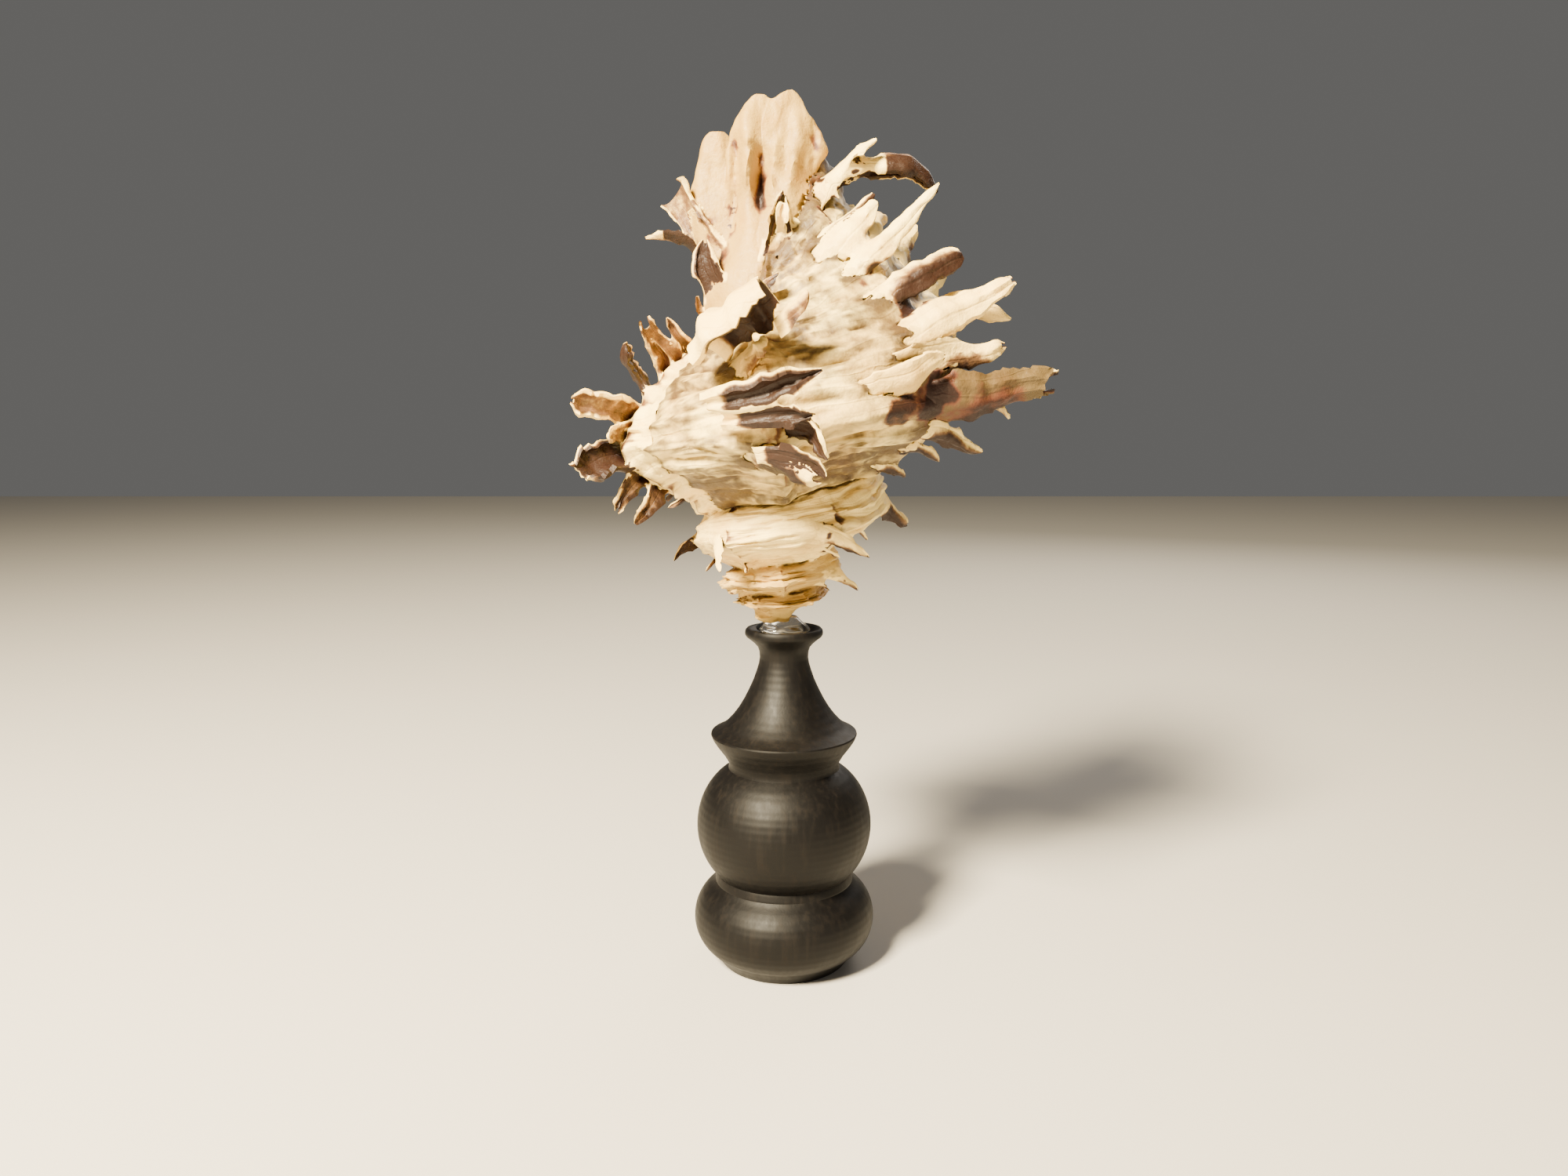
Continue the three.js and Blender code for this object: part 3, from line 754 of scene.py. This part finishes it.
def paint_shell(piece):
    tree = KDTree(len(Paint.points))
    for i, point in enumerate(Paint.points):
        tree.insert(point, i)
    tree.balance()
    soften_joins(piece.data, tree)
    shut = shade_of(piece.data)
    set_values(piece.data, "shade", shut)
    found = [list(Paint.values[tree.find(vert.co)[1]]) for vert in piece.data.vertices]
    for vert, row, closed in zip(piece.data.vertices, found, shut):
        # Each patch grows darker where a point is shut in: painted shade on top of the shell's brown.
        for centre, radius, strength in PATCHES:
            away = (vert.co - Vector(centre)).length / radius
            if away < 1.4:
                away += 0.5 * noise.noise(vert.co * 0.45)
                row[2] = max(row[2], strength * smooth(1.1, 0.3, away) * min(1.0, 0.5 + 1.5 * closed))
    for column, name in enumerate(("run", "ring", "stain_and_shade", "inside", "deep", "tan")):
        set_values(piece.data, name, [row[column] for row in found])


# ---- materials ----
def colour(code):
    """sRGB hex to the linear colour that shaders use."""
    parts = [int(code[i:i + 2], 16) / 255 for i in (1, 3, 5)]
    return [c / 12.92 if c <= 0.04045 else ((c + 0.055) / 1.055) ** 2.4 for c in parts] + [1.0]


def add_node(tree, kind, inputs=None, out=None, **settings):
    """Adds a node with its settings, links or sets its inputs, and gives its output socket."""
    node = tree.nodes.new(kind)
    for key, value in settings.items():
        setattr(node, key, value)
    for key, value in (inputs or {}).items():
        if isinstance(value, bpy.types.NodeSocket):
            tree.links.new(value, node.inputs[key])
        else:
            node.inputs[key].default_value = value
    return node.outputs[out] if out else next(socket for socket in node.outputs if socket.enabled)


def new_material(name):
    material = bpy.data.materials.new(name)
    material.use_nodes = True
    tree = material.node_tree
    shader = next(node for node in tree.nodes if node.type == "BSDF_PRINCIPLED")
    return material, tree, shader


def shell_lime():
    """Murex lime: a chalky outer layer laid down in growth steps, cream to tan, brown at the fronds.
    The eye gets broken grey-brown lines between fine spiral threads, and a low satin sheen.
    Painted shade also darkens the grooves, the recesses and the undersides of the fronds."""
    material, tree, shader = new_material("murex_lime")
    spot = add_node(tree, "ShaderNodeTexCoord", out="Object")
    run, ring, stain_and_shade, inside, deep, shade, tan = (
        add_node(tree, "ShaderNodeAttribute", out="Fac", attribute_name=name)
        for name in ("run", "ring", "stain_and_shade", "inside", "deep", "shade", "tan"))
    clouds = {size_mm: add_node(tree, "ShaderNodeTexNoise", {
        "Vector": spot, "Scale": 1 / (size_mm * MM), "Detail": 4.0, "Roughness": 0.58})
        for size_mm in (22, 9, 3.5, 2.2, 0.9)}

    # Spiral threads: run counts millimetres across them, ring degrees along them.
    surface = add_node(tree, "ShaderNodeCombineXYZ", {"X": run, "Y": ring})
    drawn = add_node(tree, "ShaderNodeMapping", {"Vector": surface, "Scale": (0.5, 0.06, 1.0)})
    streaks = add_node(tree, "ShaderNodeTexNoise", {"Vector": drawn, "Scale": 1.0, "Detail": 4.0,
                       "Roughness": 0.6})
    wander = add_node(tree, "ShaderNodeTexNoise", {"Vector": drawn, "Scale": 0.7, "Detail": 2.0})
    threads = add_node(tree, "ShaderNodeMath", {0: wander, 1: 2.2, 2: run}, operation="MULTIPLY_ADD")
    threads = add_node(tree, "ShaderNodeMath", {0: threads, 1: THREAD_PITCH}, operation="PINGPONG")
    groove = add_node(tree, "ShaderNodeMapRange", {"Value": threads, "From Min": 0.25 * THREAD_PITCH,
                      "From Max": 0.0}, interpolation_type="SMOOTHSTEP")
    broken = add_node(tree, "ShaderNodeMapRange", {"Value": streaks, "From Min": 0.42, "From Max": 0.66,
                      "To Max": 0.22}, interpolation_type="SMOOTHSTEP")
    lines = add_node(tree, "ShaderNodeMath", {0: groove, 1: broken}, operation="MULTIPLY")
    blotchy = add_node(tree, "ShaderNodeMath", {0: clouds[2.2], 1: 0.5, 2: stain_and_shade}, operation="MULTIPLY_ADD")
    # Painted shade: how shut in a point is, broken up by noise.
    recess_shade = add_node(tree, "ShaderNodeMath", {0: clouds[3.5], 1: 0.4, 2: shade}, operation="MULTIPLY_ADD")

    # Each layer: what it follows, from and to which value, how strong it gets, and its colour.
    body = colour("#fde28c")
    for follows, low, high, strength, tint in (
            (clouds[22], 0.35, 0.7, 0.9, "#eec873"),
            (tan, 0.0, 1.0, 0.8, "#957029"),
            (clouds[9], 0.5, 0.78, 0.55, "#b98433"),
            (streaks, 0.55, 0.85, 0.2, "#b58a50"),
            (lines, 0.0, 1.0, 1.0, "#6a553e"),
            # Darker tan where deep is high: painted shade in the wall's grooves and inside the gutters,
            # random tone on the canal.
            (deep, 0.25, 1.0, 0.4, "#8d6a34"),
            # Dark brown where a point is shut in: painted shade in recesses.
            (recess_shade, 0.68, 1.05, 0.92, "#30190f"),
            # Brown and near black where blotchy is high: the shell's own brown stains, with painted shade
            # mixed in on frond undersides, in grooves and in hollows.
            (blotchy, 0.54, 0.8, 0.9, "#5c3020"),
            (blotchy, 0.7, 0.98, 0.94, "#1c0c08"),
            (inside, 0.2, 1.0, 1.0, "#eddcc6")):
        share = add_node(tree, "ShaderNodeMapRange", {"Value": follows, "From Min": low, "From Max": high,
                         "To Max": strength}, interpolation_type="SMOOTHSTEP")
        body = add_node(tree, "ShaderNodeMix", {0: share, 6: body, 7: colour(tint)}, data_type="RGBA")
    tree.links.new(body, shader.inputs["Base Color"])

    satin = add_node(tree, "ShaderNodeMapRange", {"Value": clouds[0.9], "From Min": 0.3, "From Max": 0.7,
                     "To Min": 0.4, "To Max": 0.62})
    tree.links.new(satin, shader.inputs["Roughness"])
    shader.inputs["IOR"].default_value = 1.53
    shader.inputs["Specular IOR Level"].default_value = 0.25
    height = add_node(tree, "ShaderNodeMath", {0: groove, 1: -0.3, 2: clouds[0.9]}, operation="MULTIPLY_ADD")
    bump = add_node(tree, "ShaderNodeBump", {"Height": height, "Strength": 0.6, "Distance": 0.35 * MM})
    tree.links.new(bump, shader.inputs["Normal"])
    return material


def ebonised_wood():
    """Turned wood, stained black and waxed: satin, with fine turning rings and a trace of brown grain."""
    material, tree, shader = new_material("ebonised_wood")
    spot = add_node(tree, "ShaderNodeTexCoord", out="Object")
    rings = add_node(tree, "ShaderNodeTexWave", {"Vector": spot, "Scale": 1 / (0.7 * MM) / 6.28,
                     "Distortion": 0.4, "Detail": 2.0}, out="Fac", bands_direction="Z")
    tall = add_node(tree, "ShaderNodeMapping", {"Vector": spot, "Scale": (1.0, 1.0, 0.06)})
    grain = add_node(tree, "ShaderNodeTexNoise", {"Vector": tall, "Scale": 1 / (1.2 * MM), "Detail": 5.0,
                     "Roughness": 0.6})
    share = add_node(tree, "ShaderNodeMapRange", {"Value": grain, "From Min": 0.5, "From Max": 0.8})
    base = add_node(tree, "ShaderNodeMix", {0: share, 6: colour("#060505"), 7: colour("#120e0b")},
                    data_type="RGBA")
    tree.links.new(base, shader.inputs["Base Color"])
    satin = add_node(tree, "ShaderNodeMapRange", {"Value": grain, "From Min": 0.3, "From Max": 0.8,
                     "To Min": 0.46, "To Max": 0.6})
    tree.links.new(satin, shader.inputs["Roughness"])
    shader.inputs["IOR"].default_value = 1.45
    shader.inputs["Specular IOR Level"].default_value = 0.2
    height = add_node(tree, "ShaderNodeMath", {0: rings, 1: 0.5, 2: grain}, operation="MULTIPLY_ADD")
    bump = add_node(tree, "ShaderNodeBump", {"Height": height, "Strength": 0.25, "Distance": 0.15 * MM})
    tree.links.new(bump, shader.inputs["Normal"])
    return material


def clear_glue():
    """Clear epoxy, set in a bead: see-through, with a bright wet highlight and a faint yellow cast."""
    material, tree, shader = new_material("clear_epoxy")
    shader.inputs["Base Color"].default_value = colour("#fbf6e8")
    shader.inputs["Roughness"].default_value = 0.12
    shader.inputs["IOR"].default_value = 1.52
    shader.inputs["Transmission Weight"].default_value = 1.0
    return material


# ---- the stand ----
def arc(radius, height, across, up, low, high, steps):
    return [(radius + across * math.cos(math.radians(low + (high - low) * i / steps)),
             height + up * math.sin(math.radians(low + (high - low) * i / steps))) for i in range(steps + 1)]


FOOT = [(0.01, 0), (13, 0), (13.3, 0.3)]
BEAD = arc(10.6, 9.4, 8, 8.2, -58, 56, 22)
BALL = [(14.2, 17.2), (14.2, 17.5)] + arc(6, 29, 11.9, 13.4, -50, 63, 30)
SKIRT = [(11.3, 41.4), (11.3, 42.2), (12.3, 43.9), (13.8, 45.9), (14.5, 47), (14.9, 48), (14.8, 48.3),
         (14.4, 48.5), (13.2, 49.1), (12, 50), (10.5, 51.6), (9.3, 53.2), (8.1, 55.2), (7.1, 57.2)]
NECK = [(6.2, 59.2), (5.5, 61.2), (5.1, 62.6), (4.9, 63.8), (4.98, 65), (5.3, 66), (6.0, 66.8)]
SAUCER = [(6.8, 67.5), (7.6, 68.1), (7.85, 68.5), (7.9, 68.9), (7.8, 69.4), (7.5, 69.75), (7.1, 69.8),
          (6.4, 69.4), (5.6, 68.9), (5, 68.6), (0.01, 68.6)]
STAND_PROFILE = FOOT + BEAD + BALL + SKIRT + NECK + SAUCER


def spun(name, profile, steps, centre):
    """Turns a profile of (radius, height) in mm about the upright axis."""
    bm = bmesh.new()
    verts = [bm.verts.new((radius, 0, height)) for radius, height in profile]
    for a, b in zip(verts, verts[1:]):
        bm.edges.new((a, b))
    bmesh.ops.spin(bm, geom=bm.verts[:] + bm.edges[:], cent=(0, 0, 0), axis=(0, 0, 1), angle=2 * math.pi,
                   steps=steps, use_merge=True)
    bmesh.ops.remove_doubles(bm, verts=bm.verts, dist=0.002)
    bmesh.ops.holes_fill(bm, edges=[edge for edge in bm.edges if edge.is_boundary], sides=0)
    bmesh.ops.recalc_face_normals(bm, faces=bm.faces)
    bmesh.ops.scale(bm, vec=(MM, MM, MM), verts=bm.verts)
    bmesh.ops.translate(bm, vec=centre, verts=bm.verts)
    return finish_mesh(name, bm)


def place_piece(piece, material, node, smooth_angle=None):
    piece.data.materials.clear()
    piece.data.materials.append(material)
    if smooth_angle is None:
        piece.data.shade_smooth()
    else:
        with bpy.context.temp_override(object=piece, selected_editable_objects=[piece]):
            bpy.ops.object.shade_smooth_by_angle(angle=math.radians(smooth_angle))
    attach(piece, "root")
    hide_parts(node)


STAND_LOW, STAND_HIGH = (Vector(corner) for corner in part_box("stand"))
SHELL_LOW, SHELL_HIGH = (Vector(corner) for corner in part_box("shell"))
AXIS = (STAND_LOW + STAND_HIGH) / 2

stand = spun("turned_stand", STAND_PROFILE, 128, Vector((AXIS.x, AXIS.y, STAND_LOW.z)))
place_piece(stand, ebonised_wood(), "stand", 40)

GLUE_SEAT = 68.9                   # mm above the foot, just over the saucer's floor
GLUE_PROFILE = [(0.01, 0), (3.2, 0), (4.7, 0.15), (5.3, 0.5), (5.2, 0.95), (4.6, 1.5), (3.9, 2.0),
                (3.4, 2.7), (2.9, 3.2), (2.0, 3.4), (0.01, 3.4)]
glue = spun("glue", GLUE_PROFILE, 64, Vector((AXIS.x, AXIS.y, STAND_LOW.z + GLUE_SEAT * MM)))
for vert in glue.data.vertices:
    around = Vector((vert.co.x - AXIS.x, vert.co.y - AXIS.y, 0))
    wave = noise.noise(Vector((around.x, around.y, vert.co.z)) / (3.2 * MM) + Vector((0, 0, 4)))
    vert.co += around * 0.16 * wave + Vector((0, 0, 0.5 * MM * max(0.0, wave) * (around.length > 3 * MM)))
place_piece(glue, clear_glue(), "glue_bead")

paint_shell(SHELL)
SHELL.name = "murex"
turn = Matrix.Rotation(math.radians(LEAN[1]), 4, "Y") @ Matrix.Rotation(math.radians(LEAN[0]), 4, "X")
lift = Matrix.Translation((AXIS.x + OFFSET * MM, AXIS.y, SHELL_LOW.z - TIP_ABOVE_APEX * MM))
SHELL.data.transform(lift @ turn @ Matrix.Scale(MM, 4))
place_piece(SHELL, shell_lime(), "shell", 50)

# ---- floor, lights and camera ----
bpy.ops.mesh.primitive_plane_add(size=3, location=(0, 0, STAND_LOW.z))
floor = bpy.context.object
floor.name = "floor"
pale, _, pale_shader = new_material("pale_paper")
pale_shader.inputs["Base Color"].default_value = colour("#bdb9b2")
pale_shader.inputs["Roughness"].default_value = 0.9
floor.data.materials.append(pale)


def soft_light(name, place, size, watts, tint):
    lamp = bpy.data.lights.new(name, "AREA")
    lamp.size = size
    lamp.energy = watts
    lamp.color = colour(tint)[:3]
    piece = bpy.data.objects.new(name, lamp)
    piece.location = place
    piece.rotation_euler = (Vector((0, 0, 0.11)) - Vector(place)).to_track_quat("-Z", "Y").to_euler()
    bpy.context.scene.collection.objects.link(piece)


soft_light("key", (-0.28, -0.40, 0.5), 0.14, 44.0, "#ffedc8")
soft_light("fill", (0.6, -0.5, 0.25), 0.5, 0.7, "#fff2e0")
soft_light("rim", (0.3, 0.6, 0.5), 0.4, 3.0, "#fff4e6")
world = bpy.data.worlds.new("studio")
world.use_nodes = True
world.node_tree.nodes["Background"].inputs["Color"].default_value = colour("#e8e6e2")
world.node_tree.nodes["Background"].inputs["Strength"].default_value = 0.16
bpy.context.scene.world = world

EYE = (0, -0.225, 0.1107)
LOOKING_DOWN = 8.3                 # degrees
lens = bpy.data.cameras.new("camera")
lens.lens = 26
lens.sensor_width = 36
lens.clip_start = 0.01
camera = bpy.data.objects.new("camera", lens)
camera.location = EYE
camera.rotation_euler = (math.radians(90 - LOOKING_DOWN), 0, 0)
bpy.context.scene.collection.objects.link(camera)
bpy.context.scene.camera = camera
